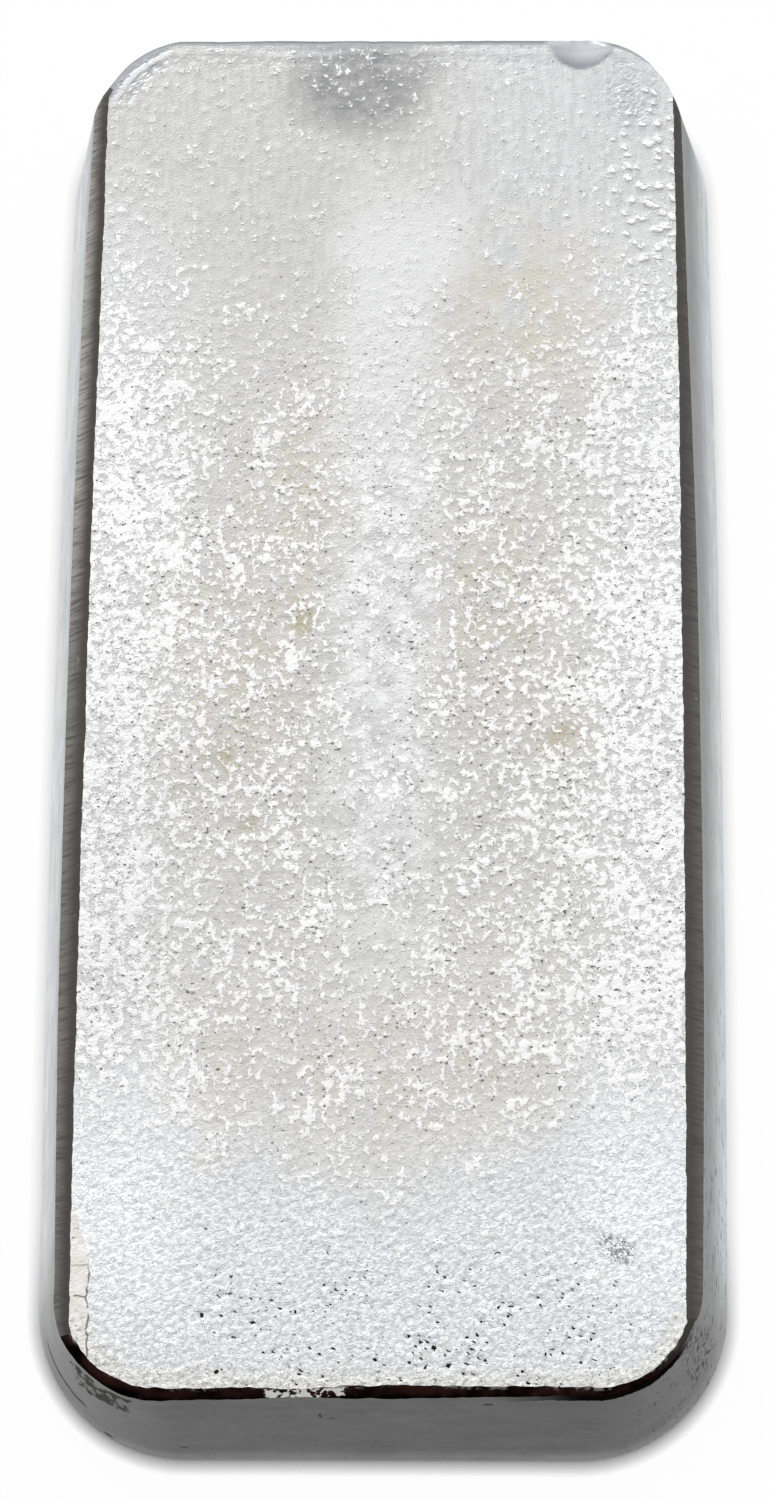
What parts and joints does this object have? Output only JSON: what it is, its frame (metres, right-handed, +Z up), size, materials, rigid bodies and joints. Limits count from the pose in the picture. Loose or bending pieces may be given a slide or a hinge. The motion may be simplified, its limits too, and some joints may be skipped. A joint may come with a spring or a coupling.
{
  "type": "cast silver ingot",
  "caption": "Cast silver ingot: one poured bar with drafted walls, rounded corners, filed long edges and a pebbled cast face, lying on its flat pour side.",
  "frame": {"origin": "on the floor under the middle of the bar", "axes": "+X across the bar, +Y along the bar to the end with the dent, +Z up out of the cast face"},
  "size_m": [0.0568, 0.124, 0.0148],
  "materials": {
    "cast_silver": "satin"
  },
  "bodies": {
    "root": {"ingot": "cast_silver"}
  },
  "joints": []
}
